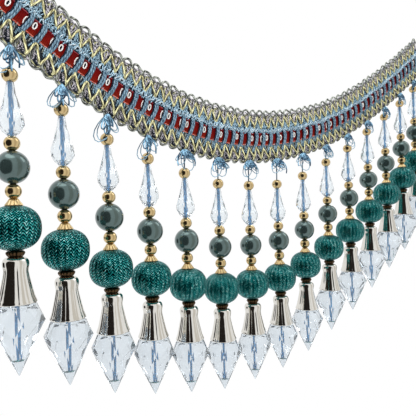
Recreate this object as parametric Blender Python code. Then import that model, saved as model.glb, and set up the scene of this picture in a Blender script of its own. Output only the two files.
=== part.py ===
"""Beaded fringe trim: a woven heading with a threaded ribbon, hung as a swag, and bead strands along its lower edge.

Metres, +Z up. +X runs along the trim, from its low near end to its high far end, and its front faces -Y.
The origin is the middle of the heading's upper edge, where the trim is held up.
A station counts strand pitches along the lower edge: strand 1 is at station 1, and the cut ends lie half a
pitch outside the first and the last strand.
"""

import math

import bmesh
import bpy
import numpy as np
from mathutils import Vector

MM = 0.001

# Layout
STRANDS = 15
PITCH = 19.5 * MM
MIDDLE = (STRANDS + 1) / 2
FIRST_END = 0.5
LAST_END = STRANDS + 0.5
GAP = 0.3 * MM

# How the trim hangs, a row for each few strands. Heading turns it towards the back, slope lifts it towards
# +X, and lean tips its upper edge towards the front. Thread is the bare length above the first bead.
#        station, heading deg, slope deg, lean deg, thread mm
SWAG = (
    (0, 12.0, -34.0, 0.0, 5.0),
    (4, 6.0, -16.0, 5.0, 5.8),
    (8, -2.0, 8.0, 10.0, 9.5),
    (12, -7.0, 29.0, 14.0, 3.4),
    (16, 0.0, 35.0, 10.0, 3.0),
)
HEADING, SLOPE, LEAN, THREAD = 1, 2, 3, 4
UNEVEN_THREAD = 0.4 * MM
UNEVEN_TURN = 2.4

# Heading
HEIGHT = 24.0 * MM
REPEATS = 4
POINTS_A_REPEAT = 2
PICOT = 0.9 * MM
SCALLOP = 0.6 * MM
EDGE_DEPTH = 0.5 * MM
BACK_DEPTH = 1.0 * MM
SHOULDER_DEPTH = 1.0 * MM
RIDGE_DEPTH = 1.3 * MM
FLOOR_DEPTH = -0.1 * MM
LOWER_BORDER = 0.11
LOWER_RIDGE = 0.22
CHANNEL_LOW = 0.355
CHANNEL_HIGH = 0.575
UPPER_RIDGE = 0.79
UPPER_BORDER = 0.905
RIBBON_THICK = 1.0 * MM

# Beads: diameter, then height
THREAD_DIAMETER = 1.0 * MM
METAL_BEAD = (5.0 * MM, 4.5 * MM)
TEARDROP = (8.0 * MM, 16.8 * MM)
PEARL = (10.4 * MM, 10.4 * MM)
CAP = (5.4 * MM, 2.0 * MM)
BALL = (16.0 * MM, 14.2 * MM)
COLLAR = (5.8 * MM, 1.6 * MM)
CONE = (12.1 * MM, 14.3 * MM)
POINT = (16.5 * MM, 22.7 * MM)
HOLE_RADIUS = 0.9 * MM
CAP_TOP_RADIUS = 1.4 * MM
COLLAR_TOP_SHARE = 0.7

# Outlines of the shaped beads, a row for each bend: share of the height down from the top, share of the radius
METAL_BEAD_SHAPE = ((0.26, 0.9), (0.74, 0.9))
TEARDROP_SHAPE = ((0.3, 0.5), (0.62, 0.92), (0.76, 1.0), (0.92, 0.62))
CONE_SHAPE = ((0.0, 0.46), (0.14, 0.64), (0.36, 0.61), (0.7, 0.78), (1.0, 1.0))
POINT_SHAPE = ((0.0, 0.7), (0.26, 1.0), (1.0, 0.02))
DROP_SIDES = 8
BALL_SIDES = 12
POINT_SIDES = 8
PEARL_RINGS = 5
BALL_RINGS = 7

# Steps a pitch when the swag is followed
FINE_STEPS = 16


def clear_scene():
    for obj in list(bpy.data.objects):
        bpy.data.objects.remove(obj, do_unlink=True)


def material(name, colour, roughness, metallic=0.0):
    made = bpy.data.materials.new(name)
    made.use_nodes = True
    shader = made.node_tree.nodes["Principled BSDF"]
    shader.inputs["Base Color"].default_value = (*colour, 1.0)
    shader.inputs["Roughness"].default_value = roughness
    shader.inputs["Metallic"].default_value = metallic
    made.diffuse_color = (*colour, 1.0)
    return made


def swag(column, station):
    """One column of the swag table at a station, on a smooth curve through its rows."""
    rows = np.array(SWAG)
    stations = rows[:, 0]
    values = rows[:, column]
    values = np.concatenate([[2 * values[0] - values[1]], values, [2 * values[-1] - values[-2]]])
    span = stations[1] - stations[0]
    row = min(max(int(station / span), 0), len(rows) - 2)
    t = station / span - row
    before, start, end, after = values[row : row + 4]
    return 0.5 * (
        2 * start
        + (end - before) * t
        + (2 * before - 5 * start + 4 * end - after) * t**2
        + (3 * start - before - 3 * end + after) * t**3
    )


def axes_at(station):
    """Unit vectors at a station: along the heading, up its face and out of its front."""
    heading = math.radians(swag(HEADING, station))
    slope = math.radians(swag(SLOPE, station))
    lean = math.radians(swag(LEAN, station))
    level = Vector((math.cos(heading), math.sin(heading), 0.0))
    along = level * math.cos(slope) + Vector((0.0, 0.0, math.sin(slope)))
    front = Vector((math.sin(heading), -math.cos(heading), 0.0))
    up = front.cross(along).normalized()
    if up.z < 0:
        up.negate()
    leaning_up = up * math.cos(lean) + front * math.sin(lean)
    leaning_front = front * math.cos(lean) - up * math.sin(lean)
    return along, leaning_up, leaning_front


def lower_edge():
    """Stations along the lower edge and their points, with the upper edge's middle at the origin."""
    count = int((LAST_END - FIRST_END) * FINE_STEPS) + 1
    stations = np.linspace(FIRST_END, LAST_END, count)
    steps = np.array([axes_at(station)[0] for station in stations])
    moves = (steps[1:] + steps[:-1]) / 2 * PITCH / FINE_STEPS
    points = np.concatenate([np.zeros((1, 3)), np.cumsum(moves, axis=0)])
    middle = np.array([np.interp(MIDDLE, stations, points[:, i]) for i in range(3)])
    up = np.array(axes_at(MIDDLE)[1])
    return stations, points - middle - up * HEIGHT


EDGE_STATIONS, EDGE_POINTS = lower_edge()


def on_heading(station, height, depth):
    """The point at a height up the heading's face and a depth in front of its middle."""
    base = Vector([float(np.interp(station, EDGE_STATIONS, EDGE_POINTS[:, i])) for i in range(3)])
    _along, up, front = axes_at(station)
    return base + up * height + front * depth


def new_object(name, bm, look):
    bmesh.ops.remove_doubles(bm, verts=bm.verts, dist=0.00001)
    bmesh.ops.recalc_face_normals(bm, faces=bm.faces)
    mesh = bpy.data.meshes.new(name)
    bm.to_mesh(mesh)
    bm.free()
    mesh.materials.append(look)
    mesh.shade_smooth()
    mesh.set_sharp_from_angle(angle=math.radians(40))
    obj = bpy.data.objects.new(name, mesh)
    bpy.context.collection.objects.link(obj)
    return obj


def swept(name, stations, section, look):
    """A closed strip along the heading. section gives its outline at a station as (height, depth) pairs."""
    bm = bmesh.new()
    rings = []
    for station in stations:
        points = [on_heading(station, height, depth) for height, depth in section(station)]
        rings.append([bm.verts.new(point) for point in points])
    for ring, after in zip(rings, rings[1:]):
        for i in range(len(ring)):
            j = (i + 1) % len(ring)
            bm.faces.new((ring[i], ring[j], after[j], after[i]))
    bm.faces.new(rings[0])
    bm.faces.new(reversed(rings[-1]))
    return new_object(name, bm, look)


def strip_stations():
    """Stations of the heading's cross-sections, a few for each picot."""
    count = int((LAST_END - FIRST_END) * REPEATS * POINTS_A_REPEAT) + 1
    return np.linspace(FIRST_END, LAST_END, count)


def gimp_section(station):
    """The braid's outline, from the lower edge up the front and down the back. Its edges wave once a repeat."""
    wave = math.cos(2 * math.pi * REPEATS * station)
    low = SCALLOP * 0.5 * (1 - wave)
    high = HEIGHT - PICOT * 0.5 * (1 - wave)
    front = (
        (low, EDGE_DEPTH),
        (LOWER_BORDER * HEIGHT, SHOULDER_DEPTH),
        (LOWER_RIDGE * HEIGHT, RIDGE_DEPTH),
        (CHANNEL_LOW * HEIGHT, SHOULDER_DEPTH),
        (CHANNEL_LOW * HEIGHT, FLOOR_DEPTH),
        (CHANNEL_HIGH * HEIGHT, FLOOR_DEPTH),
        (CHANNEL_HIGH * HEIGHT, SHOULDER_DEPTH),
        (UPPER_RIDGE * HEIGHT, RIDGE_DEPTH),
        (UPPER_BORDER * HEIGHT, SHOULDER_DEPTH),
        (high, EDGE_DEPTH),
    )
    back = (
        (high, -EDGE_DEPTH),
        (UPPER_BORDER * HEIGHT, -BACK_DEPTH),
        (LOWER_BORDER * HEIGHT, -BACK_DEPTH),
        (low, -EDGE_DEPTH),
    )
    return front + back


def ribbon_section(_station):
    """The ribbon's outline, the same at every station: flush with the braid, in its channel."""
    low = CHANNEL_LOW * HEIGHT + GAP
    high = CHANNEL_HIGH * HEIGHT - GAP
    back = FLOOR_DEPTH + GAP
    front = back + RIBBON_THICK
    return (low, front), (high, front), (high, back), (low, back)


def shaped(size, top, shape):
    """Outline of a bead whose level top is given, as (radius, level) pairs."""
    return [(size[0] / 2 * share, top - size[1] * fall) for fall, share in shape]


def metal_bead(top):
    """Outline of a small metal bead, with the rims of its hole."""
    upper_rim = (HOLE_RADIUS, top)
    lower_rim = (HOLE_RADIUS, top - METAL_BEAD[1])
    return [upper_rim, *shaped(METAL_BEAD, top, METAL_BEAD_SHAPE), lower_rim]


def arc_bead(size, top, rings, end_radius):
    """Outline of a round or oblate bead as rings on an ellipse, flat inside end_radius at both ends."""
    radius = size[0] / 2
    half = size[1] / 2
    reach = math.acos(end_radius / radius)
    outline = []
    for i in range(rings):
        angle = reach * (1 - 2 * i / (rings - 1))
        level = half * math.sin(angle) / math.sin(reach)
        outline.append((radius * math.cos(angle), top - half + level))
    return outline


def turned(name, outline, sides, look, place):
    """A solid turned about the vertical through place, from an outline of (radius, level) pairs."""
    bm = bmesh.new()
    top = bm.verts.new((0.0, 0.0, outline[0][1]))
    chain = [top]
    for radius, level in outline:
        chain.append(bm.verts.new((radius, 0.0, level)))
    chain.append(bm.verts.new((0.0, 0.0, outline[-1][1])))
    edges = [bm.edges.new(pair) for pair in zip(chain, chain[1:])]
    bmesh.ops.spin(
        bm,
        geom=chain + edges,
        cent=(0.0, 0.0, 0.0),
        axis=(0.0, 0.0, 1.0),
        angle=2 * math.pi,
        steps=sides,
        use_merge=True,
    )
    obj = new_object(name, bm, look)
    obj.location = place
    return obj


def strand_hook(number):
    """Where a strand's thread starts, just under the heading's lower edge."""
    rise = abs(math.tan(math.radians(swag(SLOPE, number))))
    hook = on_heading(number, 0.0, 0.0)
    hook.z -= GAP + (EDGE_DEPTH + THREAD_DIAMETER / 2) * rise
    return hook


def thread_length(number):
    """Bare thread above a strand's first bead. The strands hang a little unevenly."""
    return swag(THREAD, number) * MM + UNEVEN_THREAD * math.sin(UNEVEN_TURN * number)


def drop_outline(number):
    bead_top = -thread_length(number)
    teardrop_top = bead_top - METAL_BEAD[1]
    lower_bead_top = teardrop_top - TEARDROP[1]
    thread = [(THREAD_DIAMETER / 2, 0.0), (THREAD_DIAMETER / 2, bead_top)]
    return (
        thread
        + metal_bead(bead_top)
        + shaped(TEARDROP, teardrop_top, TEARDROP_SHAPE)
        + metal_bead(lower_bead_top)
    )


def ball_outline():
    bead_top = -PEARL[1]
    cap_top = bead_top - METAL_BEAD[1]
    ball_top = cap_top - CAP[1]
    cap = [(CAP_TOP_RADIUS, cap_top), (CAP[0] / 2, ball_top)]
    return (
        arc_bead(PEARL, 0.0, PEARL_RINGS, HOLE_RADIUS)
        + metal_bead(bead_top)[1:]
        + cap
        + arc_bead(BALL, ball_top, BALL_RINGS, CAP[0] / 2)[1:]
    )


def point_outline():
    cone_top = -COLLAR[1]
    point_top = cone_top - CONE[1]
    collar = [(COLLAR_TOP_SHARE * COLLAR[0] / 2, 0.0), (COLLAR[0] / 2, cone_top)]
    return collar + shaped(CONE, cone_top, CONE_SHAPE) + shaped(POINT, point_top, POINT_SHAPE)


def build_strand(number, looks):
    hook = strand_hook(number)
    drop = drop_outline(number)
    pearl_top = hook + Vector((0.0, 0.0, drop[-1][1] - GAP))
    ball = ball_outline()
    collar_top = pearl_top + Vector((0.0, 0.0, ball[-1][1] - GAP))
    turned(f"drop_{number:02d}", drop, DROP_SIDES, looks["drop"], hook)
    turned(f"ball_{number:02d}", ball, BALL_SIDES, looks["ball"], pearl_top)
    turned(f"point_{number:02d}", point_outline(), POINT_SIDES, looks["point"], collar_top)


def main():
    clear_scene()
    looks = {
        "gimp": material("gimp_yarn", (0.36, 0.36, 0.26), 0.85),
        "ribbon": material("ribbon_satin", (0.22, 0.02, 0.015), 0.45),
        "drop": material("drop_clear", (0.75, 0.82, 0.88), 0.08),
        "ball": material("ball_thread", (0.01, 0.16, 0.14), 0.5),
        "point": material("point_metal_and_clear", (0.75, 0.75, 0.78), 0.12, 0.3),
    }
    swept("gimp", strip_stations(), gimp_section, looks["gimp"])
    swept("ribbon", strip_stations()[::POINTS_A_REPEAT], ribbon_section, looks["ribbon"])
    for number in range(1, STRANDS + 1):
        build_strand(number, looks)


main()
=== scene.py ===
"""Beaded fringe trim: the yarns of its braid, its ribbon and rings, and every bead of its strands,
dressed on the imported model. Metres, +Z up. A station counts strand pitches along the braid's lower edge."""

import math

import bmesh
import bpy
import numpy as np
from mathutils import Matrix, Vector


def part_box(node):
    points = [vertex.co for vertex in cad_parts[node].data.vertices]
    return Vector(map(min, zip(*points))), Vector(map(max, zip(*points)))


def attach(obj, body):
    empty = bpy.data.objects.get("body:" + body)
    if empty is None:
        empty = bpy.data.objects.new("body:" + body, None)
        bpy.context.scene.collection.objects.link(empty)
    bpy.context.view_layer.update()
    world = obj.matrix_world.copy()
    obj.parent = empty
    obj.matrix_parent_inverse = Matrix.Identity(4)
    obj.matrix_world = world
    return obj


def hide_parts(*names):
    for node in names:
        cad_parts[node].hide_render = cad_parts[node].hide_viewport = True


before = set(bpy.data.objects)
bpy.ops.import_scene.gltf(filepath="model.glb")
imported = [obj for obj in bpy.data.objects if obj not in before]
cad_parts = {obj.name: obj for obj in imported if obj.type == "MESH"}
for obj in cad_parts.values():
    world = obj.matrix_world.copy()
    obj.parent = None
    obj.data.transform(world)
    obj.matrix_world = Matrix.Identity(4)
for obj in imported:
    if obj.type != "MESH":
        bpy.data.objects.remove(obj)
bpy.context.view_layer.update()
MM = 0.001

# Layout of the trim, as in the solids
STRANDS = 15
PITCH = 19.5 * MM
MIDDLE = (STRANDS + 1) / 2
FIRST_END = 0.5
LAST_END = STRANDS + 0.5
GAP = 0.3 * MM
#        station, heading deg, slope deg, lean deg
SWAG = (
    (0, 12.0, -34.0, 0.0),
    (4, 6.0, -16.0, 5.0),
    (8, -2.0, 8.0, 10.0),
    (12, -7.0, 29.0, 14.0),
    (16, 0.0, 35.0, 10.0),
)
HEADING, SLOPE, LEAN = 1, 2, 3
FINE_STEPS = 16

# Braid: heights in mm from its lower edge, depths in mm in front of its middle, shares of a repeat along it
HEIGHT = 24.0
REPEATS = 56
GROUND_LOW = 0.9
GROUND_HIGH = 22.3
GROUND_THICK = 1.0 * MM
GROUND_DEPTH = -0.5
GROUND_ROWS = 12
RIBBON_LOW = 7.9
RIBBON_HIGH = 13.9
RIBBON_DEPTH = 0.35
RIBBON_THICK = 0.25 * MM
RIBBON_CROWN = 0.2
RIBBON_DIP = 0.12
RIBBON_ROWS = 6
ZIGZAG_UPPER = (
    (0.00, 21.4, 0.7), (0.06, 20.8, 1.25), (0.58, 16.9, 1.35),
    (0.64, 16.2, 1.0), (0.70, 16.8, 1.35), (0.95, 20.8, 1.3),
)
ZIGZAG_LOWER = (
    (0.05, 6.9, 0.8), (0.12, 6.4, 1.3), (0.70, 2.3, 1.3),
    (0.76, 1.6, 1.0), (0.82, 2.3, 1.35), (1.00, 6.4, 1.3),
)
SLATE_UPPER = (
    ((-0.20, 14.6, 0.4), (-0.12, 17.0, 0.8), (-0.04, 20.3, 0.5)),
    ((-0.02, 14.4, 0.5), (0.02, 17.2, 0.95), (0.03, 20.9, 0.6)),
    ((0.14, 14.6, 0.4), (0.13, 17.0, 0.85), (0.10, 20.5, 0.5)),
    ((0.31, 14.8, 0.4), (0.27, 16.6, 0.8), (0.22, 19.2, 0.5)),
)
MAUVE_UPPER = (
    ((0.62, 17.4, 0.5), (0.50, 19.6, 0.75), (0.30, 22.0, 0.5)),
    ((0.68, 17.8, 0.5), (0.66, 20.0, 0.95), (0.48, 22.6, 0.6)),
    ((0.72, 19.0, 0.5), (0.82, 20.8, 0.8), (0.80, 22.5, 0.5)),
)
OLIVE_UPPER = (
    ((0.64, 17.8, 0.4), (0.60, 20.2, 0.7), (0.66, 22.4, 0.5)),
    ((0.40, 20.2, 0.5), (0.46, 21.6, 0.85), (0.62, 22.0, 0.6)),
)
SLATE_LOWER = (
    ((-0.16, 8.2, 0.8), (-0.10, 6.6, 0.9), (-0.02, 4.4, 0.5)),
    ((0.10, 7.8, 0.5), (0.12, 5.8, 0.75), (0.10, 3.6, 0.5)),
    ((0.30, 8.2, 0.5), (0.34, 6.9, 0.8), (0.28, 4.8, 0.5)),
    ((0.48, 8.2, 0.5), (0.56, 7.0, 0.85), (0.52, 5.2, 0.5)),
    ((0.66, 8.2, 0.5), (0.74, 6.6, 0.8), (0.72, 4.6, 0.5)),
)
MAUVE_LOWER = (
    ((0.06, 4.8, 0.5), (0.20, 3.4, 0.9), (0.24, 1.4, 0.5)),
    ((0.30, 4.4, 0.5), (0.42, 2.9, 0.85), (0.62, 1.9, 0.5)),
    ((0.50, 4.0, 0.4), (0.58, 2.6, 0.7), (0.46, 1.2, 0.5)),
)
PICOT = (
    (0.02, 20.6, 0.4), (0.00, 22.2, 0.9), (0.12, 23.5, 0.7), (0.40, 24.4, 0.3),
    (0.72, 24.1, 0.35), (0.92, 22.8, 0.8), (0.98, 21.2, 1.0),
)
PICOT_INNER = (
    (
        (0.10, 20.6, 0.4), (0.10, 21.8, 0.8), (0.24, 22.5, 0.7),
        (0.54, 22.8, 0.5), (0.84, 22.2, 0.8), (0.80, 20.8, 0.5),
    ),
)
PICOT_FOOT = (
    ((-0.10, 21.2, 0.9), (0.06, 22.3, 1.1), (0.24, 21.9, 1.0), (0.34, 20.8, 0.7)),
    ((0.44, 20.4, 0.5), (0.56, 22.2, 0.9), (0.72, 22.6, 0.8), (0.84, 21.6, 0.9)),
)
SCALLOP = (
    (-0.02, 3.2, 0.8), (0.02, 1.6, 1.05), (0.20, 0.3, 0.7), (0.50, -0.3, 0.3),
    (0.80, -0.1, 0.2), (1.00, 1.0, 0.4), (1.10, 2.6, 0.3),
)
SCALLOP_INNER = (
    (
        (0.14, 3.4, 0.4), (0.14, 1.6, 0.9), (0.34, 0.6, 0.8),
        (0.66, 0.4, 0.6), (0.88, 1.4, 0.7), (0.86, 3.2, 0.4),
    ),
    ((-0.16, 2.2, 0.4), (0.00, 1.0, 0.8), (0.20, 0.9, 0.9), (0.34, 2.0, 0.6)),
)
SCALLOP_FOOT = (
    ((0.24, 1.6, 0.6), (0.40, 0.2, 0.5), (0.62, -0.1, 0.4), (0.80, 0.8, 0.5)),
    ((0.58, 3.0, 0.8), (0.70, 1.6, 1.0), (0.94, 1.4, 0.8)),
)
EYELET = (
    (0.42, 1.9, 0.7), (0.52, 1.1, 0.95), (0.64, 1.8, 0.8), (0.54, 2.8, 0.95), (0.42, 1.9, 0.7),
)
CHAIN_LINKS = (
    ((-0.12, 14.3, 0.9), (0.00, 15.4, 1.45), (0.14, 15.8, 1.2)),
    ((0.08, 13.9, 0.9), (0.20, 14.7, 1.45), (0.28, 15.9, 1.1)),
    ((0.30, 14.2, 0.9), (0.38, 15.3, 1.45), (0.56, 16.1, 1.1)),
    ((0.50, 13.8, 0.9), (0.62, 14.6, 1.45), (0.66, 15.9, 1.1)),
    ((0.72, 14.4, 0.9), (0.78, 15.6, 1.4), (0.94, 16.2, 1.0)),
)
# Short white yarns laid over the chain links: painted highlights.
CHAIN_PAINTED_HIGHLIGHTS = (
    ((0.00, 14.5, 1.2), (0.08, 15.2, 1.6), (0.20, 15.3, 1.2)),
    ((0.36, 14.4, 1.2), (0.46, 14.9, 1.6), (0.50, 15.7, 1.2)),
    ((0.64, 15.0, 1.2), (0.74, 15.2, 1.6), (0.86, 14.7, 1.2)),
)
BACK_DEPTH = -1.75
BACK_SLATE = ((14.2, 21.8), (7.0, 14.6), (1.2, 7.4))
BACK_PER_REPEAT = 4
BACK_FLOAT = (
    (0.10, 1.4, BACK_DEPTH), (0.42, 6.0, BACK_DEPTH - 0.25), (0.74, 11.4, BACK_DEPTH - 0.1),
    (0.42, 16.8, BACK_DEPTH - 0.25), (0.12, 21.6, BACK_DEPTH),
)
BARS = (
    ((-0.20, 6.4, 0.3), (-0.12, 8.0, 1.2), (-0.05, 10.4, 1.5), (-0.04, 12.6, 1.5), (-0.10, 14.6, 1.0)),
    ((-0.04, 6.3, 0.3), (0.04, 8.0, 1.3), (0.11, 10.4, 1.6), (0.12, 12.6, 1.6), (0.06, 14.7, 1.0)),
)
BAR_SHADOW = (
    (-0.32, 7.0, 0.3), (-0.24, 8.2, 0.9), (-0.17, 10.4, 1.2), (-0.16, 12.6, 1.15), (-0.22, 14.2, 0.8),
)
RING_WIDE = 0.115
RING_TALL = 1.15
RING_HEIGHT = 11.3
RING_DEPTH = 1.15
RING_SHARE = 0.42
RING_SIDES = 12
# Half the length of the painted shade down a ring's opening, mm
HEART_REACH = 0.65
# A sliver is the part of a ring that shows beside a bar, in the odd repeats
SLIVER_SHARE = 0.86
SLIVER_TALL = 1.3
SLIVER_BACK = 0.4
SLIVERS_UNBROKEN = 13
SLIVER_STEP = 5

# Beads: diameter, then height
METAL_BEAD = (5.0 * MM, 4.5 * MM)
TEARDROP = (8.0 * MM, 16.8 * MM)
PEARL = (10.4 * MM, 10.4 * MM)
CAP = (5.4 * MM, 2.0 * MM)
BALL = (16.0 * MM, 14.2 * MM)
BALL_RIBS = 24
BALL_ROWS = 24
BALL_SHOULDER = 0.88
RIB_DEPTH = 0.32 * MM
COLLAR = (5.8 * MM, 1.6 * MM)
CONE = (12.1 * MM, 14.3 * MM)
CONE_GROOVE = 0.16 * MM
CAP_GROOVE = 0.35 * MM
COLLAR_GROOVE = 0.3 * MM
FLUTES = 12
POINT = (16.5 * MM, 22.7 * MM)
FACETS = 10
BEAD_FLAT = 0.9 * MM
PEARL_FLAT = 0.8 * MM
STRAND_TURN = 2.4

# Threads: thicknesses in mm, then places
STEM_THICK = 0.6
TUFT_THICK = 0.6
LOOP_THICK = 0.36
TUFT_KNOT_THICK = 2.2
DROP_THREAD_THICK = 0.95
POINT_THREAD_THICK = 0.9
POINT_KNOT_THICK = 0.7
THREAD_INSET = 0.4 * MM
CONE_SHARE = 0.9
KNOT_RISE = 5.4 * MM
KNOT_RADIUS = 0.9 * MM
KNOT_SIDES = 12
STEM_RISE = 2.2 * MM
TUFT_KNOT_DROP = 1.2 * MM

# Camera, from the photograph's perspective
CAMERA_PLACE = Vector((-0.1654, -0.1522, -0.0473))
CAMERA_TURN = math.radians(-38.34)
CAMERA_TILT = math.radians(0.16)
CAMERA_ROLL = math.radians(1.94)
CAMERA_LENS = 38.58
SENSOR_WIDTH = 36.0

# Lights: name, azimuth, elevation, distance, size, power
LIGHTS = (
    ("key", -75, 40, 0.9, 0.45, 6.0),
    ("fill", 20, 35, 1.0, 0.5, 4.0),
    ("top", -30, 80, 1.0, 0.6, 4.0),
    ("low", -45, -35, 0.9, 0.5, 3.5),
)
LIGHT_AIM = Vector((0.0, 0.0, -0.05))

# Zones of the surroundings: azimuth and elevation of the middle, half-width and half-height, deg
DARK_ZONES = (
    (-60.0, 2.0, 44.0, 46.0),
    (-134.0, -2.0, 13.0, 13.0),
)
BRIGHT_ZONES = (
    (-60.0, 70.0, 80.0, 12.0),
    (76.0, 40.0, 12.0, 14.0),
)
GREY_ZONES = ((34.0, 0.0, 16.0, 60.0),)
# What the zones show: to polished beads, to all else
DARK_MIRRORED = (0.018, 0.015, 0.013)
DARK_ELSEWHERE = (0.66, 0.72, 0.77)
PALE = (0.95, 0.95, 0.95)
GREY = (0.70, 0.67, 0.62)
WHITE = (1.0, 1.0, 1.0)
GLOW = 1.6


def curve_point(before, start, end, after, t):
    """A point between start and end on a smooth curve through all four."""
    return 0.5 * (
        2 * start
        + (end - before) * t
        + (2 * before - 5 * start + 4 * end - after) * t**2
        + (3 * start - before - 3 * end + after) * t**3
    )


def swag(column, station):
    """One column of the swag table at a station, on a smooth curve through its rows."""
    rows = np.array(SWAG)
    values = rows[:, column]
    values = np.concatenate([[2 * values[0] - values[1]], values, [2 * values[-1] - values[-2]]])
    span = rows[1, 0] - rows[0, 0]
    row = min(max(int(station / span), 0), len(rows) - 2)
    return curve_point(*values[row : row + 4], station / span - row)


def axes_at(station):
    """Unit vectors at a station: along the braid, up its face and out of its front."""
    heading = math.radians(swag(HEADING, station))
    slope = math.radians(swag(SLOPE, station))
    lean = math.radians(swag(LEAN, station))
    level = Vector((math.cos(heading), math.sin(heading), 0.0))
    along = level * math.cos(slope) + Vector((0.0, 0.0, math.sin(slope)))
    front = Vector((math.sin(heading), -math.cos(heading), 0.0))
    up = front.cross(along).normalized()
    if up.z < 0:
        up.negate()
    return along, up * math.cos(lean) + front * math.sin(lean), front * math.cos(lean) - up * math.sin(lean)


def lower_edge():
    """Stations along the lower edge with their points and axes, the upper edge's middle being the origin."""
    count = int((LAST_END - FIRST_END) * FINE_STEPS) + 1
    stations = np.linspace(FIRST_END, LAST_END, count)
    axes = np.array([axes_at(station) for station in stations])
    moves = (axes[1:, 0] + axes[:-1, 0]) / 2 * PITCH / FINE_STEPS
    points = np.concatenate([np.zeros((1, 3)), np.cumsum(moves, axis=0)])
    middle = np.array([np.interp(MIDDLE, stations, points[:, i]) for i in range(3)])
    up = np.array(axes_at(MIDDLE)[1])
    return stations, points - middle - up * HEIGHT * MM, axes


EDGE_STATIONS, EDGE_POINTS, EDGE_AXES = lower_edge()


def on_braid(station, height, depth):
    """The point at a height up the braid's face and a depth in front of its middle, both in mm."""
    place = (station - FIRST_END) * FINE_STEPS
    index = min(max(int(place), 0), len(EDGE_STATIONS) - 2)
    t = place - index
    point = EDGE_POINTS[index] * (1 - t) + EDGE_POINTS[index + 1] * t
    axes = EDGE_AXES[index] * (1 - t) + EDGE_AXES[index + 1] * t
    return Vector(point + axes[1] * height * MM + axes[2] * depth * MM)


# Threads at a strand's head, mm. Knots and loops: swing to the side, drop, width, reach to the front.
# Tails: swing, drop, reach. The first two styles end at the strands in HEAD_LAST.
HEADS = (
    {
        "knots": (
            (-2.6, 5.4, 1.6, 1.0), (-1.7, 6.8, 1.5, 1.5), (-0.8, 4.6, 1.3, 1.9),
            (0.3, 4.0, 1.2, 1.7), (-1.4, 3.4, 1.8, 2.0),
        ),
        "loops": (
            (-4.2, 9.6, 5.2, 0.6), (-3.4, 9.0, 4.2, 1.0), (3.0, 6.4, 3.2, 0.6), (3.8, 5.2, 2.4, 0.4),
        ),
        "tails": ((-0.6, 7.2, 1.5), (2.2, 6.4, 1.0)),
    },
    {
        "knots": (
            (-3.2, 4.4, 1.6, 1.2), (-2.2, 3.6, 1.5, 1.8), (-1.2, 4.8, 1.4, 2.0),
            (-0.2, 3.6, 1.4, 2.3), (0.8, 4.6, 1.4, 2.1), (1.9, 3.4, 1.6, 1.8),
            (3.0, 4.2, 1.6, 1.2), (-1.6, 2.8, 2.0, 2.3), (1.2, 2.8, 2.0, 2.2),
        ),
        "loops": (
            (4.2, 5.8, 3.0, 0.6), (4.9, 4.8, 2.4, 0.4), (-2.8, 8.0, 4.8, 0.6),
            (1.0, 8.6, 5.8, 0.9), (-4.2, 5.4, 2.4, 0.8),
        ),
        "tails": ((-4.4, 6.2, 0.8), (4.8, 6.6, 0.6)),
    },
    {
        "knots": (
            (-3.4, 3.4, 1.8, 1.2), (-2.4, 2.8, 1.6, 1.7), (-1.5, 4.2, 1.6, 1.9),
            (-0.6, 3.2, 1.5, 2.1), (0.6, 3.6, 1.6, 1.9), (-2.6, 4.8, 1.6, 1.4),
        ),
        "loops": (
            (1.6, 7.8, 5.8, 0.8), (2.6, 7.0, 4.4, 0.6), (3.4, 5.6, 3.2, 0.4),
            (0.2, 6.8, 4.0, 1.2), (-1.4, 6.6, 3.0, 1.0),
        ),
        "tails": ((2.8, 4.4, 0.8),),
    },
)
HEAD_LAST = (4, 9)
LOOP_POINTS = 14
TAIL_POINTS = 7


class Value:
    """A socket's value in a shader. Arithmetic on it adds Math nodes."""

    def __init__(self, look, socket):
        self.look = look
        self.socket = socket

    def __add__(self, other):
        return self.look.math("ADD", self, other)

    def __sub__(self, other):
        return self.look.math("SUBTRACT", self, other)

    def __rsub__(self, other):
        return self.look.math("SUBTRACT", other, self)

    def __mul__(self, other):
        return self.look.math("MULTIPLY", self, other)

    def __truediv__(self, other):
        return self.look.math("DIVIDE", self, other)

    def __pow__(self, other):
        return self.look.math("POWER", self, other)


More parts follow.
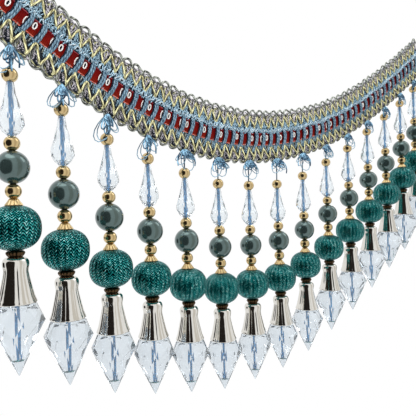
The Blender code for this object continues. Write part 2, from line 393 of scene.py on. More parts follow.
class Look:
    """A material or a world with its nodes."""

    def __init__(self, name, tree=None):
        if tree is None:
            self.material = bpy.data.materials.new(name)
            self.material.use_nodes = True
            tree = self.material.node_tree
            self.shader = tree.nodes["Principled BSDF"]
        self.tree = tree

    def node(self, kind, settings=None, inputs=None, output=0):
        """Adds a node. Settings are set first, then its inputs by name or number. Returns one output."""
        made = self.tree.nodes.new("ShaderNode" + kind)
        for name, setting in (settings or {}).items():
            if name == "stops":
                self.set_stops(made.color_ramp, setting)
            else:
                setattr(made, name, setting)
        for name, value in (inputs or {}).items():
            self.feed(made.inputs[name], value)
        return Value(self, made.outputs[output])

    def set_stops(self, ramp, stops):
        while len(ramp.elements) < len(stops):
            ramp.elements.new(1.0)
        for element, (place, colour) in zip(ramp.elements, stops):
            element.position = place
            element.color = (*colour, 1.0)

    def feed(self, socket, value):
        if isinstance(value, Value):
            self.tree.links.new(value.socket, socket)
        elif isinstance(value, tuple) and len(value) == 3 and socket.type == "RGBA":
            socket.default_value = (*value, 1.0)
        else:
            socket.default_value = value

    def math(self, operation, *values):
        return self.node("Math", {"operation": operation}, dict(enumerate(values)))

    def wave(self, value):
        """From 0 to 1 and back once for each whole step of value."""
        return self.math("SINE", value * (2 * math.pi)) * 0.5 + 0.5

    def mix(self, factor, first, second):
        return self.node("Mix", {"data_type": "RGBA"}, {0: factor, 6: first, 7: second}, output=2)

    def ramp(self, factor, stops):
        return self.node("ValToRGB", {"stops": stops}, {0: factor})

    def noise(self, scale, detail=2.0, rough=0.5):
        where = self.node("TexCoord", None, None, output="Object")
        inputs = {"Vector": where, "Scale": scale, "Detail": detail, "Roughness": rough}
        return self.node("TexNoise", None, inputs)

    def split(self, vector):
        parts = self.node("SeparateXYZ", None, {0: vector}).socket.node.outputs
        return [Value(self, part) for part in parts]

    def uv(self):
        """The two coordinates of a piece's own map: along it and round it."""
        return self.split(self.node("TexCoord", None, None, output="UV"))[:2]

    def bump(self, height, distance):
        return self.node("Bump", None, {"Height": height, "Distance": distance, "Strength": 1.0})

    def set(self, **values):
        for name, value in values.items():
            self.feed(self.shader.inputs[name.replace("_", " ")], value)
        return self.material


def yarn_look(name, dark, light, turns, plies=2, sheen=0.0, rough=0.85):
    """Plied yarn: slanted ridges run round it, with stray fibres and patches. The grooves between the ridges
    are painted darker as shade.
    """
    look = Look(name)
    along, around = look.uv()
    ply_relief_and_shade = look.wave(along * turns + around * plies)
    fibre = look.noise(2600.0, 3.0)
    patch = look.noise(520.0, 2.0)
    # The ply term paints shade in the grooves between plies; fibre and patch are the yarn's own uneven tone.
    tone = ply_relief_and_shade * 0.8 + fibre * 0.9 + patch * 1.3 - 1.05
    colour = look.mix(tone, dark, light)
    normal = look.bump(ply_relief_and_shade + fibre * 0.4, 0.00015)
    look.set(Base_Color=colour, Roughness=rough, Normal=normal, Specular_IOR_Level=0.25)
    if sheen:
        look.set(Sheen_Weight=sheen, Sheen_Roughness=0.35)
    return look.material


def ground_look():
    """The woven ground of the braid: fine slanted weft in slate and mauve-grey, painted darker in the low
    gaps between the weft as shade.
    """
    look = Look("braid_ground")
    along, up = look.uv()
    weft = look.wave(along * (REPEATS * 4) + up * 6.0)
    rows = look.wave(up * 26.0)
    fibre = look.noise(1800.0, 3.0)
    band = look.ramp(
        up,
        (
            (0.0, (0.030, 0.030, 0.040)),
            (0.25, (0.035, 0.045, 0.060)),
            (0.40, (0.030, 0.060, 0.085)),
            (0.68, (0.030, 0.070, 0.10)),
            (0.80, (0.030, 0.045, 0.060)),
            (1.0, (0.035, 0.035, 0.045)),
        ),
    )
    height = weft * 0.6 + rows * 0.3 + fibre * 0.3
    # Low parts of the weave are painted near-black: painted shade in the gaps.
    colour = look.mix(height * 0.8, (0.006, 0.008, 0.012), band)
    look.set(Base_Color=colour, Roughness=0.9, Normal=look.bump(height, 0.0003), Specular_IOR_Level=0.2)
    return look.material


def ribbon_look():
    """Dark red satin: fine upright ribs; its colour is darker towards its upper edge and lighter and browner
    towards its lower edge.
    """
    look = Look("ribbon_satin")
    along, up = look.uv()
    ribs = look.wave(along * (REPEATS * 9))
    streak = look.noise(900.0, 2.0)
    tone = look.ramp(
        up,
        (
            (0.0, (0.26, 0.020, 0.005)),
            (0.45, (0.20, 0.003, 0.001)),
            (1.0, (0.13, 0.001, 0.002)),
        ),
    )
    colour = look.mix(ribs * 0.4 + streak * 0.9 - 0.15, tone, (0.06, 0.001, 0.001))
    look.set(Base_Color=colour, Roughness=0.6, Normal=look.bump(ribs, 0.00005), Specular_IOR_Level=0.08)
    return look.material


def metal_look(name, colour, rough, wear=0.08):
    look = Look(name)
    streak = look.noise(700.0, 3.0)
    look.set(
        Base_Color=look.mix(streak * 0.6, colour, tuple(c * 0.8 for c in colour)),
        Metallic=1.0,
        Roughness=streak * wear + (rough - wear / 2),
        Normal=look.bump(look.noise(500.0, 2.0), 0.00003),
    )
    return look.material


def pearl_look():
    """Lacquered pearl: dark green-grey with a soft cloud of tones under a clear glossy coat."""
    look = Look("pearl_lacquer")
    cloud = look.noise(260.0, 3.0)
    colour = look.mix(cloud, (0.050, 0.085, 0.084), (0.110, 0.170, 0.162))
    speck = look.noise(3000.0, 2.0)
    look.set(
        Base_Color=colour,
        Metallic=0.85,
        Roughness=speck * 0.06 + 0.12,
        Coat_Weight=0.8,
        Coat_Roughness=0.05,
        Normal=look.bump(speck, 0.00001),
    )
    return look.material


def ball_look():
    """Metallic teal thread wound in chevrons: slanted dashes that turn at every rib, with painted shade
    between the dashes and in the creases between the ribs.
    """
    look = Look("ball_thread")
    around, up = look.uv()
    rib = look.math("PINGPONG", around * BALL_RIBS, 0.5)
    grain = look.noise(900.0, 2.0)
    dashes = look.wave(up * BALL_ROWS + rib * 2.2 + grain * 1.1)
    glint = look.noise(1600.0, 2.0, rough=0.7)
    cloud = look.noise(240.0, 2.0)
    # Painted shade: the gaps between dashes and the creases between ribs are darker, the rib term being
    # lowest at a crease.
    tone = dashes * 0.85 + glint * 1.7 + cloud * 0.4 + rib * 0.4 - 1.22
    colour = look.ramp(
        tone,
        (
            (0.0, (0.0, 0.010, 0.015)),
            (0.3, (0.001, 0.055, 0.062)),
            (0.55, (0.004, 0.21, 0.205)),
            (0.8, (0.05, 0.50, 0.48)),
            (1.0, (0.60, 1.0, 0.98)),
        ),
    )
    look.set(
        Base_Color=colour,
        Metallic=1.0,
        Roughness=0.45 - glint * 0.25,
        Normal=look.bump(dashes + glint * 0.6, 0.0001),
    )
    return look.material


def clear_look(name, tint, rough, clear):
    """Clear cut bead: moulded acrylic with faint waves in its facets and a little milkiness."""
    look = Look(name)
    wave = look.noise(130.0, 2.0)
    look.set(
        Base_Color=look.mix(wave * 0.5, tint, tuple(c * 1.03 for c in tint)),
        Roughness=wave * 0.03 + rough,
        Transmission_Weight=clear,
        IOR=1.5,
        Normal=look.bump(wave, 0.00004),
    )
    return look.material


LOOKS = {
    "ground": ground_look(),
    "ribbon": ribbon_look(),
    "yellow": yarn_look("yarn_pale_yellow", (0.14, 0.12, 0.05), (0.84, 0.80, 0.46), 7.0),
    "slate": yarn_look("yarn_slate_blue", (0.008, 0.03, 0.06), (0.38, 0.56, 0.68), 5.0),
    "bar": yarn_look("yarn_bar_slate", (0.04, 0.08, 0.12), (0.21, 0.32, 0.40), 6.0),
    "sky": yarn_look("yarn_light_blue", (0.02, 0.09, 0.16), (0.58, 0.82, 0.95), 4.0, sheen=0.2, rough=0.6),
    # White yarn for the painted highlights on the chain.
    "white": yarn_look("yarn_white_painted_highlight", (0.20, 0.34, 0.46), (0.95, 1.0, 1.0), 4.0, rough=0.6),
    "mauve": yarn_look("yarn_mauve_grey", (0.03, 0.03, 0.04), (0.72, 0.68, 0.74), 5.0),
    "olive": yarn_look("yarn_olive", (0.04, 0.045, 0.015), (0.72, 0.70, 0.40), 5.0),
    "charcoal": yarn_look("yarn_charcoal", (0.006, 0.006, 0.008), (0.24, 0.24, 0.22), 6.0),
    "edge": yarn_look("yarn_edge_grey", (0.010, 0.010, 0.010), (0.40, 0.42, 0.37), 3.0, plies=2),
    "navy": yarn_look("yarn_navy_shadow", (0.002, 0.003, 0.007), (0.015, 0.025, 0.045), 5.0),
    "coral": yarn_look("yarn_coral", (0.40, 0.05, 0.03), (0.85, 0.27, 0.20), 240.0),
    "coral_dark": yarn_look("yarn_coral_dark", (0.20, 0.01, 0.02), (0.60, 0.12, 0.14), 240.0),
    "cream": yarn_look("yarn_cream", (0.62, 0.58, 0.54), (1.0, 0.98, 0.95), 6.0),
    "thread": yarn_look("thread_blue", (0.003, 0.02, 0.05), (0.30, 0.53, 0.71), 1.5, plies=1, rough=0.5),
    "loop": yarn_look("thread_loop", (0.015, 0.05, 0.08), (0.26, 0.42, 0.54), 2.0, plies=1, rough=0.5),
    "stem": yarn_look("thread_stem", (0.01, 0.03, 0.05), (0.10, 0.17, 0.23), 6.0, rough=0.6),
    "core": yarn_look("thread_core", (0.02, 0.14, 0.36), (0.14, 0.42, 0.74), 60.0, rough=0.5),
    "knot": yarn_look("thread_knot", (0.02, 0.12, 0.13), (0.10, 0.35, 0.36), 8.0, rough=0.5),
    "gold": metal_look("gold_plate", (0.66, 0.50, 0.26), 0.15),
    "silver": metal_look("silver_plate", (0.80, 0.78, 0.73), 0.07, 0.05),
    "collar": metal_look("collar_plate", (0.10, 0.06, 0.03), 0.3),
    "pearl": pearl_look(),
    "ball": ball_look(),
    "teardrop": clear_look("clear_drop", (0.88, 0.93, 0.96), 0.09, 0.93),
    "crystal": clear_look("clear_point", (0.75, 0.81, 0.86), 0.07, 0.92),
}


def add_piece(name, mesh, look, node):
    """Places a finished mesh as a piece that rides on the trim and stands for its solid."""
    mesh.name = name
    mesh.materials.clear()
    mesh.materials.append(LOOKS[look])
    piece = bpy.data.objects.new(name, mesh)
    bpy.context.collection.objects.link(piece)
    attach(piece, "root")
    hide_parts(node)
    return piece


def smooth_route(points, steps):
    """Points on a smooth curve through a route's own points."""
    rows = [points[0], *points, points[-1]]
    route = []
    for i in range(len(points) - 1):
        around = [Vector(p) for p in rows[i : i + 4]]
        for j in range(steps):
            route.append(curve_point(*around, j / steps))
    route.append(Vector(points[-1]))
    return route


def tubes(routes, diameter, bevel=1):
    """One mesh of round yarns with closed ends, one for each route. A route may close on itself."""
    data = bpy.data.curves.new("yarns", "CURVE")
    data.dimensions = "3D"
    data.bevel_depth = diameter / 2
    data.bevel_resolution = bevel
    data.use_fill_caps = True
    for route in routes:
        closed = (Vector(route[0]) - Vector(route[-1])).length < 1e-6
        points = route[:-1] if closed else route
        spline = data.splines.new("POLY")
        spline.points.add(len(points) - 1)
        spline.points.foreach_set("co", [c for p in points for c in (*p, 1.0)])
        spline.use_cyclic_u = closed
        spline.use_smooth = True
    holder = bpy.data.objects.new("yarns", data)
    bpy.context.collection.objects.link(holder)
    graph = bpy.context.evaluated_depsgraph_get()
    mesh = bpy.data.meshes.new_from_object(holder.evaluated_get(graph))
    bpy.data.objects.remove(holder)
    bpy.data.curves.remove(data)
    return mesh


def uneven(place, salt, size):
    """A small repeatable difference from place to place."""
    return size * math.sin(place * 2.399 + salt * 1.7) * math.cos(place * 0.77 + salt)


def station_of(share):
    """The station at a number of repeats along the braid."""
    return FIRST_END + share * (LAST_END - FIRST_END) / REPEATS


def repeat_route(repeat, route, salt, waver, steps):
    """One yarn of one repeat as points in space, or None where it would pass the braid's ends."""
    points = []
    for i, (share, height, depth) in enumerate(route):
        share += repeat + uneven(repeat + 3 * i, salt, waver / 5)
        height += uneven(repeat + 5 * i, salt + 2, waver)
        points.append((share, height, depth + uneven(repeat + i, salt + 4, waver / 3)))
    if min(p[0] for p in points) < 0 or max(p[0] for p in points) > REPEATS:
        return None
    return [on_braid(station_of(s), h, d) for s, h, d in smooth_route(points, steps)]


def yarn_set(name, look, diameter, routes, waver, steps=3):
    """A piece of many short yarns, diameter in mm: the same routes in each repeat of the braid. waver is how
    uneven they are, in mm, and steps is how many pieces each stretch of a route is cut into."""
    made = [
        repeat_route(repeat, route, salt + len(name), waver, steps)
        for repeat in range(REPEATS)
        for salt, route in enumerate(routes)
    ]
    return add_piece(name, tubes([route for route in made if route], diameter * MM), look, "gimp")


def strip_mesh(along, across, thick, place):
    """A thin strip along the braid. place gives a point from its shares along and up the strip."""
    bm = bmesh.new()
    uv = bm.loops.layers.uv.new("UVMap")
    grid = bmesh.ops.create_grid(bm, x_segments=along, y_segments=across, size=0.5, calc_uvs=False)["verts"]
    for face in bm.faces:
        for loop in face.loops:
            loop[uv].uv = (loop.vert.co.x + 0.5, loop.vert.co.y + 0.5)
    for vert in grid:
        vert.co = place(vert.co.x + 0.5, vert.co.y + 0.5)
    bmesh.ops.recalc_face_normals(bm, faces=bm.faces)
    bmesh.ops.solidify(bm, geom=bm.faces, thickness=thick)
    bmesh.ops.recalc_face_normals(bm, faces=bm.faces)
    mesh = bpy.data.meshes.new("strip")
    bm.to_mesh(mesh)
    bm.free()
    mesh.shade_smooth()
    return mesh


def build_ground():
    """The braid's ground: a thin strip through the middle of its thickness."""

    def place(along, up):
        station = FIRST_END + along * (LAST_END - FIRST_END)
        return on_braid(station, GROUND_LOW + up * (GROUND_HIGH - GROUND_LOW), GROUND_DEPTH)

    mesh = strip_mesh(REPEATS * 2, GROUND_ROWS, GROUND_THICK, place)
    return add_piece("braid_ground", mesh, "ground", "gimp")


def build_ribbon():
    """The ribbon: crowned between its edges, and drawn in a little under the bars."""

    def place(along, up):
        station = FIRST_END + along * (LAST_END - FIRST_END)
        crown = RIBBON_CROWN * math.sin(math.pi * up)
        drawn_in = RIBBON_DIP * math.cos(2 * math.pi * along * REPEATS)
        height = RIBBON_LOW + up * (RIBBON_HIGH - RIBBON_LOW)
        return on_braid(station, height, RIBBON_DEPTH + (crown - drawn_in))

    mesh = strip_mesh(REPEATS * 4, RIBBON_ROWS, RIBBON_THICK, place)
    return add_piece("ribbon_satin", mesh, "ribbon", "ribbon")


def shifted(route, along, up, out):
    """A route moved by a share of a repeat along the braid, and by mm up it and out of it."""
    return tuple((share + along, height + up, depth + out) for share, height, depth in route)


def build_braid_yarns():
    """The yarns of the braid's front, from the fill rows out to the bars over the ribbon."""
    upper = ZIGZAG_UPPER + ((1.0, 21.4, 0.7),)
    lower = ZIGZAG_LOWER + ((1.05, 6.9, 0.8),)
    return [
        yarn_set("fill_slate_upper", "slate", 0.66, SLATE_UPPER, 0.5, 2),
        yarn_set("fill_mauve_upper", "mauve", 0.62, MAUVE_UPPER, 0.6, 2),
        yarn_set("fill_olive_upper", "olive", 0.6, OLIVE_UPPER, 0.6, 2),
        yarn_set("fill_slate_lower", "slate", 0.66, SLATE_LOWER[::2], 0.5, 2),
        yarn_set("fill_grey_lower", "edge", 0.62, SLATE_LOWER[1::2], 0.5, 2),
        yarn_set("fill_mauve_lower", "mauve", 0.62, MAUVE_LOWER, 0.6, 2),
        yarn_set("zigzag_upper", "yellow", 0.7, [upper], 0.35),
        yarn_set("zigzag_lower", "yellow", 0.76, [lower], 0.35),
        # Charcoal yarns a little below and behind each zigzag stroke: a painted shadow along one side of it.
        yarn_set("zigzag_edge_upper", "charcoal", 0.5, [shifted(upper, 0.08, -0.35, -0.45)], 0.35),
        yarn_set("zigzag_edge_lower", "charcoal", 0.5, [shifted(lower, 0.08, -0.35, -0.45)], 0.35),
        yarn_set("picots", "edge", 0.95, [PICOT], 0.4, 3),
        yarn_set("picots_inner", "mauve", 0.56, PICOT_INNER, 0.5, 3),
        yarn_set("picot_feet", "charcoal", 0.5, PICOT_FOOT, 0.4, 2),
        yarn_set("scallops", "edge", 0.85, [SCALLOP], 0.4, 3),
        yarn_set("scallops_upper", "charcoal", 0.5, [shifted(SCALLOP, 0.05, 0.8, 0.3)], 0.5, 3),
        yarn_set("scallops_inner", "olive", 0.5, SCALLOP_INNER[:1], 0.4, 3),
        yarn_set("scallops_side", "mauve", 0.62, SCALLOP_INNER[1:], 0.4, 3),
        yarn_set("scallop_feet", "charcoal", 0.6, SCALLOP_FOOT, 0.4, 2),
        yarn_set("eyelets", "navy", 0.5, [EYELET], 0.2, 2),
        yarn_set("chain_upper", "sky", 0.5, CHAIN_LINKS, 0.9, 2),
        yarn_set("chain_top", "sky", 0.42, [shifted(r, 0.35, 1.1, -0.35) for r in CHAIN_LINKS[::2]], 1.0, 2),
        # Painted highlights over the chain, in white yarn.
        yarn_set("chain_glints", "white", 0.34, CHAIN_PAINTED_HIGHLIGHTS, 1.1, 2),
        yarn_set("bars", "bar", 0.85, BARS, 0.15, 3),
        yarn_set("bar_shadows", "navy", 0.5, [BAR_SHADOW], 0.12, 3),
    ]


def build_back_yarns():
    """The plain back: slanted weft in three rows with a float across them, on the far side of the ground."""
    rows = []
    for low, high in BACK_SLATE:
        for i in range(BACK_PER_REPEAT):
            share = i / BACK_PER_REPEAT
            middle = (share + 0.2, (low + high) / 2, BACK_DEPTH)
            rows.append(((share, low, BACK_DEPTH + 0.2), middle, (share + 0.3, high, BACK_DEPTH + 0.2)))
    return [
        yarn_set("back_weft", "slate", 0.8, rows, 0.3, 2),
        yarn_set("back_floats", "mauve", 0.6, [BACK_FLOAT], 0.3, 2),
    ]


def build_ribbon_edges():
    """A cord along each edge of the ribbon."""
    count = REPEATS * 3
    stations = [station_of(REPEATS * i / count) for i in range(count + 1)]
    low = [on_braid(s, RIBBON_LOW + 0.3, 0.75) for s in stations]
    high = [on_braid(s, RIBBON_HIGH - 0.2, 0.7) for s in stations]
    return [
        add_piece("ribbon_edge_low", tubes([low], 0.42 * MM), "coral", "ribbon"),
        add_piece("ribbon_edge_high", tubes([high], 0.36 * MM), "coral_dark", "ribbon"),
    ]


def build_rings():
    """A cream ring in every second window, and a sliver of one in those between, fewer further on. A short
    navy yarn down the opening of each is painted shade.
    """
    rings = []
    hearts = []
    for repeat in range(REPEATS - 1):
        sliver = repeat % 2 == 1
        if sliver and repeat > SLIVERS_UNBROKEN and repeat % SLIVER_STEP:
            continue
        share = repeat + (SLIVER_SHARE if sliver else RING_SHARE) + uneven(repeat, 12, 0.05)
        tall = RING_TALL * (SLIVER_TALL if sliver else 1.0)
        depth = RING_DEPTH - (SLIVER_BACK if sliver else 0.0)
        centre = RING_HEIGHT + uneven(repeat, 5, 0.3)
        ring = []
        for i in range(RING_SIDES + 1):
            angle = 2 * math.pi * i / RING_SIDES
            along = share + RING_WIDE * math.cos(angle)
            ring.append(on_braid(station_of(along), centre + tall * math.sin(angle), depth))
        rings.append(ring)
        # A navy stroke down the ring's opening: painted shade where the hole looks dark.
        heart = ((share, centre - HEART_REACH), (share + 0.01, centre + HEART_REACH))
        hearts.append([on_braid(station_of(s), h, depth - 0.1) for s, h in heart])
    return [
        add_piece("rings", tubes(rings, 0.5 * MM, 2), "cream", "gimp"),
        add_piece("ring_painted_shade", tubes(hearts, 0.6 * MM), "navy", "gimp"),
    ]


def turn(bm, outline, sides):
    """Turns an outline of (radius, level) pairs about the vertical into a closed solid in bm."""
    chain = [bm.verts.new((0.0, 0.0, outline[0][1]))]
    for radius, level in outline:
        chain.append(bm.verts.new((radius, 0.0, level)))
    chain.append(bm.verts.new((0.0, 0.0, outline[-1][1])))
    edges = [bm.edges.new(pair) for pair in zip(chain, chain[1:])]
    bmesh.ops.spin(
        bm,
        geom=chain + edges,
        cent=(0.0, 0.0, 0.0),
        axis=(0.0, 0.0, 1.0),
        angle=2 * math.pi,
        steps=sides,
        use_merge=True,
    )


def finish_mesh(bm, name, sharp=None):
    """Makes a clean mesh of bm: flat-faced, or smooth but for the edges over a sharp angle in degrees."""
    bmesh.ops.remove_doubles(bm, verts=bm.verts, dist=0.000004)
    bmesh.ops.recalc_face_normals(bm, faces=bm.faces)
    mesh = bpy.data.meshes.new(name)
    bm.to_mesh(mesh)
    bm.free()
    if sharp is None:
        mesh.shade_flat()
    else:
        mesh.shade_smooth()
        mesh.set_sharp_from_angle(angle=math.radians(sharp))
    return mesh


def round_outline(size, top, rings, end_radius):
    """Outline of a round or oblate bead, flat inside end_radius at both ends."""
    radius = size[0] / 2
    half = size[1] / 2
    reach = math.acos(end_radius / radius)
    outline = []
    for i in range(rings):
        angle = reach * (1 - 2 * i / (rings - 1))
        outline.append((radius * math.cos(angle), top - half + half * math.sin(angle) / math.sin(reach)))
    return outline


def metal_beads_mesh(tops, cap_top=None):
    """Small metal beads at levels, and the fluted cap that sits on the ball."""
    bm = bmesh.new()
    for top in tops:
        turn(bm, round_outline(METAL_BEAD, top, 13, BEAD_FLAT), 28)
    if cap_top is not None:
        start = len(bm.verts)
        radius, height = CAP[0] / 2, CAP[1]
        outline = [
            (0.48 * radius, cap_top),
            (0.56 * radius, cap_top - 0.1 * height),
            (0.72 * radius, cap_top - 0.45 * height),
            (0.98 * radius, cap_top - 0.9 * height),
            (1.04 * radius, cap_top - 1.05 * height),
            (0.9 * radius, cap_top - 1.12 * height),
        ]
        turn(bm, outline, 48)
        bm.verts.ensure_lookup_table()
        for vert in list(bm.verts)[start:]:
            groove(vert, CAP_GROOVE)
    return finish_mesh(bm, "metal_beads", 60)


def groove(vert, depth):
    """Draws a point of a turned wall in where one of the upright grooves between its panels runs."""
    radius = math.hypot(vert.co.x, vert.co.y)
    if radius < 0.4 * MM:
        return
    angle = math.atan2(vert.co.y, vert.co.x)
    kept = 1 - depth * (1 - abs(math.sin(angle * FLUTES / 2))) ** 2 / radius
    vert.co.x *= kept
    vert.co.y *= kept


def teardrop_mesh(top):
    rows = ((0.0, 0.28), (0.22, 0.42), (0.48, 0.74), (0.68, 0.97), (0.80, 0.99), (0.93, 0.66), (1.0, 0.3))
    return faceted_mesh(rows, TEARDROP, top)


def crystal_mesh(top):
    rows = ((0.0, 0.68), (0.03, 0.72), (0.25, 1.0), (0.42, 0.78), (0.7, 0.41), (0.995, 0.015))
    return faceted_mesh(rows, POINT, top)


def faceted_mesh(rows, size, top):
    """A cut bead: rings of corners, every other one turned by half a facet, flat triangles between."""
    bm = bmesh.new()
    bmesh.ops.create_uvsphere(bm, u_segments=FACETS, v_segments=len(rows) + 1, radius=1.0)
    levels = sorted({round(v.co.z, 4) for v in bm.verts}, reverse=True)
    for vert in bm.verts:
        row = levels.index(round(vert.co.z, 4)) - 1
        angle = math.atan2(vert.co.y, vert.co.x)
        if row < 0 or row >= len(rows):
            fall = rows[0][0] if row < 0 else rows[-1][0]
            vert.co = (0.0, 0.0, top - size[1] * fall)
            continue
        fall, share = rows[row]
        angle += math.pi / FACETS * (row % 2)
        radius = share * size[0] / 2
        vert.co = (radius * math.cos(angle), radius * math.sin(angle), top - size[1] * fall)
    bmesh.ops.triangulate(bm, faces=bm.faces, quad_method="SHORT_EDGE")
    return finish_mesh(bm, "cut_bead")


def ball_mesh(top):
    """The wound ball: an oblate with upright ribs that fade at its ends."""
    bm = bmesh.new()
    bm.loops.layers.uv.new("UVMap")
    bmesh.ops.create_uvsphere(bm, u_segments=BALL_RIBS * 6, v_segments=32, radius=1.0, calc_uvs=True)
    for vert in bm.verts:
        x, y, z = vert.co
        angle = math.atan2(y, x)
        latitude = math.asin(max(-1.0, min(1.0, z)))
        belt = math.cos(latitude) ** BALL_SHOULDER
        level = math.copysign(abs(math.sin(latitude)) ** BALL_SHOULDER, z)
        crease = abs(math.sin(angle * BALL_RIBS / 2)) ** 0.6
        radius = BALL[0] / 2 * belt - RIB_DEPTH * math.cos(latitude) * (1 - crease)
        vert.co = (radius * math.cos(angle), radius * math.sin(angle), top + BALL[1] / 2 * (level - 1))
    return finish_mesh(bm, "wound_ball", 80)


def pearl_mesh(top):
    bm = bmesh.new()
    turn(bm, round_outline(PEARL, top, 25, PEARL_FLAT), 48)
    return finish_mesh(bm, "pearl", 60)


def cone_mesh(top):
    """The fluted bell: a bulge under its neck, twelve flutes and a scalloped rim."""
    bm = bmesh.new()
    radius, height = CONE[0] / 2, CONE[1]
    rows = (
        (0.0, 0.40), (0.015, 0.50), (0.05, 0.60), (0.10, 0.655), (0.15, 0.665), (0.21, 0.65), (0.27, 0.62),
        (0.32, 0.615), (0.40, 0.645), (0.55, 0.72), (0.70, 0.80), (0.84, 0.88), (0.92, 0.95),
        (0.96, 0.99), (0.985, 0.995), (1.0, 0.96), (0.995, 0.9), (0.96, 0.8),
    )
    turn(bm, [(radius * share, top - height * fall) for fall, share in rows], 96)
    for vert in bm.verts:
        fall = (top - vert.co.z) / height
        if fall > 0.05:
            groove(vert, CONE_GROOVE * min(1.0, (fall - 0.05) * 3.0))
    return finish_mesh(bm, "cone", 50)


def collar_mesh(top):
    bm = bmesh.new()
    radius, height = COLLAR[0] / 2, COLLAR[1]
    rows = ((-0.2, 0.80), (0.05, 0.98), (0.3, 1.0), (0.6, 0.92), (0.85, 0.80), (1.0, 0.7))
    turn(bm, [(radius * share, top - height * fall) for fall, share in rows], 48)
    for vert in bm.verts:
        groove(vert, COLLAR_GROOVE)
    return finish_mesh(bm, "collar", 50)


def placed(mesh, place, turn_angle):
    """A copy of a mesh, turned about the vertical and moved to its strand."""
    copy = mesh.copy()
    copy.transform(Matrix.Translation(place) @ Matrix.Rotation(turn_angle, 4, "Z"))
    return copy


def loop_route(root, side, front, swing, drop, wide, out):
    """A thin loop that hangs from the root, narrow at its top and round at its foot."""
    route = []
    for i in range(LOOP_POINTS + 1):
        turn_share = i / LOOP_POINTS
        fall = (1 - math.cos(2 * math.pi * turn_share)) / 2
        across = math.sin(2 * math.pi * turn_share) * math.sin(math.pi * turn_share) ** 0.8
        reach = side * (swing * fall + across * wide * 0.62) + front * (out * fall + across * 0.4)
        route.append(root + reach * MM - Vector((0, 0, drop * fall * MM)))
    return route[:-1] + [route[-1] + side * 0.3 * MM]


def tail_route(root, side, front, swing, drop, out):
    """A cut end that springs sideways from the root and bends down."""
    route = []
    for i in range(TAIL_POINTS):
        share = i / (TAIL_POINTS - 1)
        spread = math.sin(share * math.pi * 0.62)
        reach = side * swing * spread + front * out * math.sin(share * math.pi * 0.5)
        route.append(root + reach * MM - Vector((0, 0, drop * share**1.4 * MM)))
    return route


def head_routes(number, hook, bead_top):
    """The threads at a strand's head: its stem, its cut ends with its knotted loops, its thin loops."""
    along = axes_at(number)[0]
    side = Vector((along.x, along.y, 0.0)).normalized()
    front = Vector((side.y, -side.x, 0.0))
    end = Vector((hook.x, hook.y, bead_top - MM))
    start = hook + Vector((0, 0, STEM_RISE))
    stem = smooth_route([start, hook.lerp(end, 0.5) + side * 0.15 * MM, end], 3)
    head = HEADS[sum(number > last for last in HEAD_LAST)]
    root = hook + front * 0.9 * MM + Vector((0, 0, 1.3 * MM))
    tails = []
    for i, (swing, drop, out) in enumerate(head["tails"]):
        swing *= 1 + uneven(number, i, 0.35)
        drop *= 1 + uneven(number + 3, i + 1, 0.3)
        tails.append(tail_route(root, side, front, swing + uneven(number, i, 0.5), drop, out))
    loops = []
    for kind, made in (("knots", tails), ("loops", loops)):
        for i, (swing, drop, wide, out) in enumerate(head[kind]):
            swing *= 1 + uneven(number + 6, i, 0.3)
            drop *= 1 + uneven(number + 9, i, 0.25)
            wide *= 1 + uneven(number + 5, i, 0.35)
            made.append(loop_route(root, side, front, swing, drop, wide, out))
    return stem, tails, loops


def upright(place, high, low):
    """A straight upright route between two levels."""
    return [Vector((place.x, place.y, level)) for level in (high, low)]


def build_strand(number, shapes):
    """All pieces of one strand, placed by the boxes of its solids."""
    name = f"{number:02d}"
    low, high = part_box(f"drop_{name}")
    place = Vector(((low[0] + high[0]) / 2, (low[1] + high[1]) / 2, 0.0))
    hook = Vector((place.x, place.y, high[2]))
    lower_bead = low[2] + METAL_BEAD[1]
    drop_top = lower_bead + TEARDROP[1]
    bead_top = drop_top + METAL_BEAD[1]
    ball_top = low[2]
    point_low, point_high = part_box(f"point_{name}")
    point_top = point_high[2] + GAP
    pieces = []
    for part, look, level, node in (
        ("drop_beads", "gold", bead_top, "drop"),
        ("teardrop", "teardrop", drop_top, "drop"),
        ("pearl", "pearl", ball_top, "ball"),
        ("ball_beads", "gold", ball_top, "ball"),
        ("wound_ball", "ball", ball_top, "ball"),
        ("collar", "collar", point_top, "point"),
        ("cone", "silver", point_top, "point"),
        ("crystal", "crystal", point_top, "point"),
    ):
        mesh = placed(shapes[part], Vector((place.x, place.y, level)), number * STRAND_TURN)
        pieces.append(add_piece(f"{part}_{name}", mesh, look, f"{node}_{name}"))
    stem, tails, loops = head_routes(number, hook, bead_top)
    tuft_knot = [stem[0], hook - Vector((0, 0, TUFT_KNOT_DROP))]
    drop_thread = upright(place, drop_top + THREAD_INSET, lower_bead - THREAD_INSET)
    bottom = point_low[2] + GAP + KNOT_RISE
    point_thread = upright(place, point_top - COLLAR[1] - CONE[1] * CONE_SHARE, bottom)
    knot = []
    for i in range(KNOT_SIDES + 1):
        a = 2 * math.pi * i / KNOT_SIDES
        middle = Vector((place.x, place.y, bottom))
        knot.append(middle + Vector((math.cos(a), math.sin(a), 0.0)) * KNOT_RADIUS)
    for part, routes, thick, bevel, look, node in (
        ("stem", [stem], STEM_THICK, 1, "stem", "drop"),
        ("tuft", tails, TUFT_THICK, 1, "thread", "drop"),
        ("loops", loops, LOOP_THICK, 1, "loop", "drop"),
        ("tuft_knot", [tuft_knot], TUFT_KNOT_THICK, 1, "stem", "drop"),
        ("drop_thread", [drop_thread], DROP_THREAD_THICK, 2, "core", "drop"),
        ("point_thread", [point_thread], POINT_THREAD_THICK, 2, "core", "point"),
        ("point_knot", [knot], POINT_KNOT_THICK, 1, "knot", "point"),
    ):
        mesh = tubes(routes, thick * MM, bevel)
        pieces.append(add_piece(f"{part}_{name}", mesh, look, f"{node}_{name}"))
    return pieces


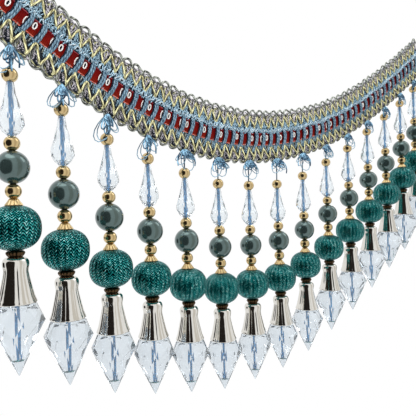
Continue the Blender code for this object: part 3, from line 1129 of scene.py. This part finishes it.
def build_strands():
    """Each bead is made once, with its level in the strand's solid, and copied to every strand."""
    ball_top = -PEARL[1] - METAL_BEAD[1] - CAP[1]
    cone_top = -COLLAR[1]
    shapes = {
        "drop_beads": metal_beads_mesh([0.0, -METAL_BEAD[1] - TEARDROP[1]]),
        "teardrop": teardrop_mesh(0.0),
        "pearl": pearl_mesh(0.0),
        "ball_beads": metal_beads_mesh([-PEARL[1]], ball_top + CAP[1]),
        "wound_ball": ball_mesh(ball_top),
        "collar": collar_mesh(0.0),
        "cone": cone_mesh(cone_top),
        "crystal": crystal_mesh(cone_top - CONE[1]),
    }
    pieces = []
    for number in range(1, STRANDS + 1):
        pieces += build_strand(number, shapes)
    return pieces


def direction(azimuth, elevation):
    """The direction of an azimuth, which is 0 towards the front, and an elevation, in degrees."""
    a, e = math.radians(azimuth), math.radians(elevation)
    return Vector((math.sin(a) * math.cos(e), -math.cos(a) * math.cos(e), math.sin(e)))


def zones(look, azimuth, elevation, table):
    """1 inside the table's soft-edged zones, 0 outside."""
    inside = 0.0
    for middle, level, wide, tall in table:
        across = look.math("ABSOLUTE", (azimuth - middle) / wide)
        above = look.math("ABSOLUTE", (elevation - level) / tall)
        reach = (across**3.0 + above**3.0) ** (1 / 3)
        limits = {"Value": reach, "From Min": 1.1, "From Max": 0.9}
        zone = look.node("MapRange", {"interpolation_type": "SMOOTHSTEP"}, limits)
        inside = look.math("MAXIMUM", inside, zone)
    return inside


def build_world():
    """White surroundings with soft dark and bright zones that the polished beads reflect."""
    world = bpy.data.worlds.new("studio")
    bpy.context.scene.world = world
    world.use_nodes = True
    look = Look("studio", world.node_tree)
    back = world.node_tree.nodes["Background"]
    where = look.node("TexCoord", None, None, output="Generated")
    x, y, z = look.split(where)
    azimuth = look.math("ARCTAN2", x, 0.0 - y) * (180 / math.pi)
    elevation = look.math("ARCSINE", z) * (180 / math.pi)
    dark = zones(look, azimuth, elevation, DARK_ZONES)
    grey = zones(look, azimuth, elevation, GREY_ZONES)
    bright = zones(look, azimuth, elevation, BRIGHT_ZONES)
    straight = look.node("LightPath", None, None, output="Is Camera Ray")
    glossy = look.node("LightPath", None, None, output="Is Glossy Ray")
    flag = look.mix(glossy, DARK_ELSEWHERE, DARK_MIRRORED)
    pale = look.mix(grey, PALE, GREY)
    shade = look.mix(dark, pale, flag)
    look.feed(back.inputs["Color"], look.mix(straight, shade, WHITE))
    look.feed(back.inputs["Strength"], bright * glossy * GLOW + 1)


def area_light(name, azimuth, elevation, distance, size, power):
    """A round light that points at the trim and isn't mirrored by the beads."""
    data = bpy.data.lights.new(name, "AREA")
    data.shape = "DISK"
    data.size = size
    data.energy = power
    light = bpy.data.objects.new(name, data)
    light.location = LIGHT_AIM + direction(azimuth, elevation) * distance
    light.rotation_euler = (LIGHT_AIM - light.location).to_track_quat("-Z", "Y").to_euler()
    light.visible_glossy = False
    bpy.context.collection.objects.link(light)


def build_camera():
    data = bpy.data.cameras.new("camera")
    data.lens = CAMERA_LENS
    data.sensor_width = SENSOR_WIDTH
    data.clip_start = 0.01
    camera = bpy.data.objects.new("camera", data)
    camera.matrix_world = (
        Matrix.Translation(CAMERA_PLACE)
        @ Matrix.Rotation(CAMERA_TURN, 4, "Z")
        @ Matrix.Rotation(math.radians(90) + CAMERA_TILT, 4, "X")
        @ Matrix.Rotation(-CAMERA_ROLL, 4, "Z")
    )
    bpy.context.collection.objects.link(camera)
    bpy.context.scene.camera = camera


build_camera()
ground = build_ground()
braid = build_braid_yarns() + build_back_yarns() + build_ribbon_edges() + build_rings() + [build_ribbon()]
strands = build_strands()
braid + strands
build_world()
for row in LIGHTS:
    area_light(*row)
bpy.context.scene.view_settings.view_transform = "Standard"
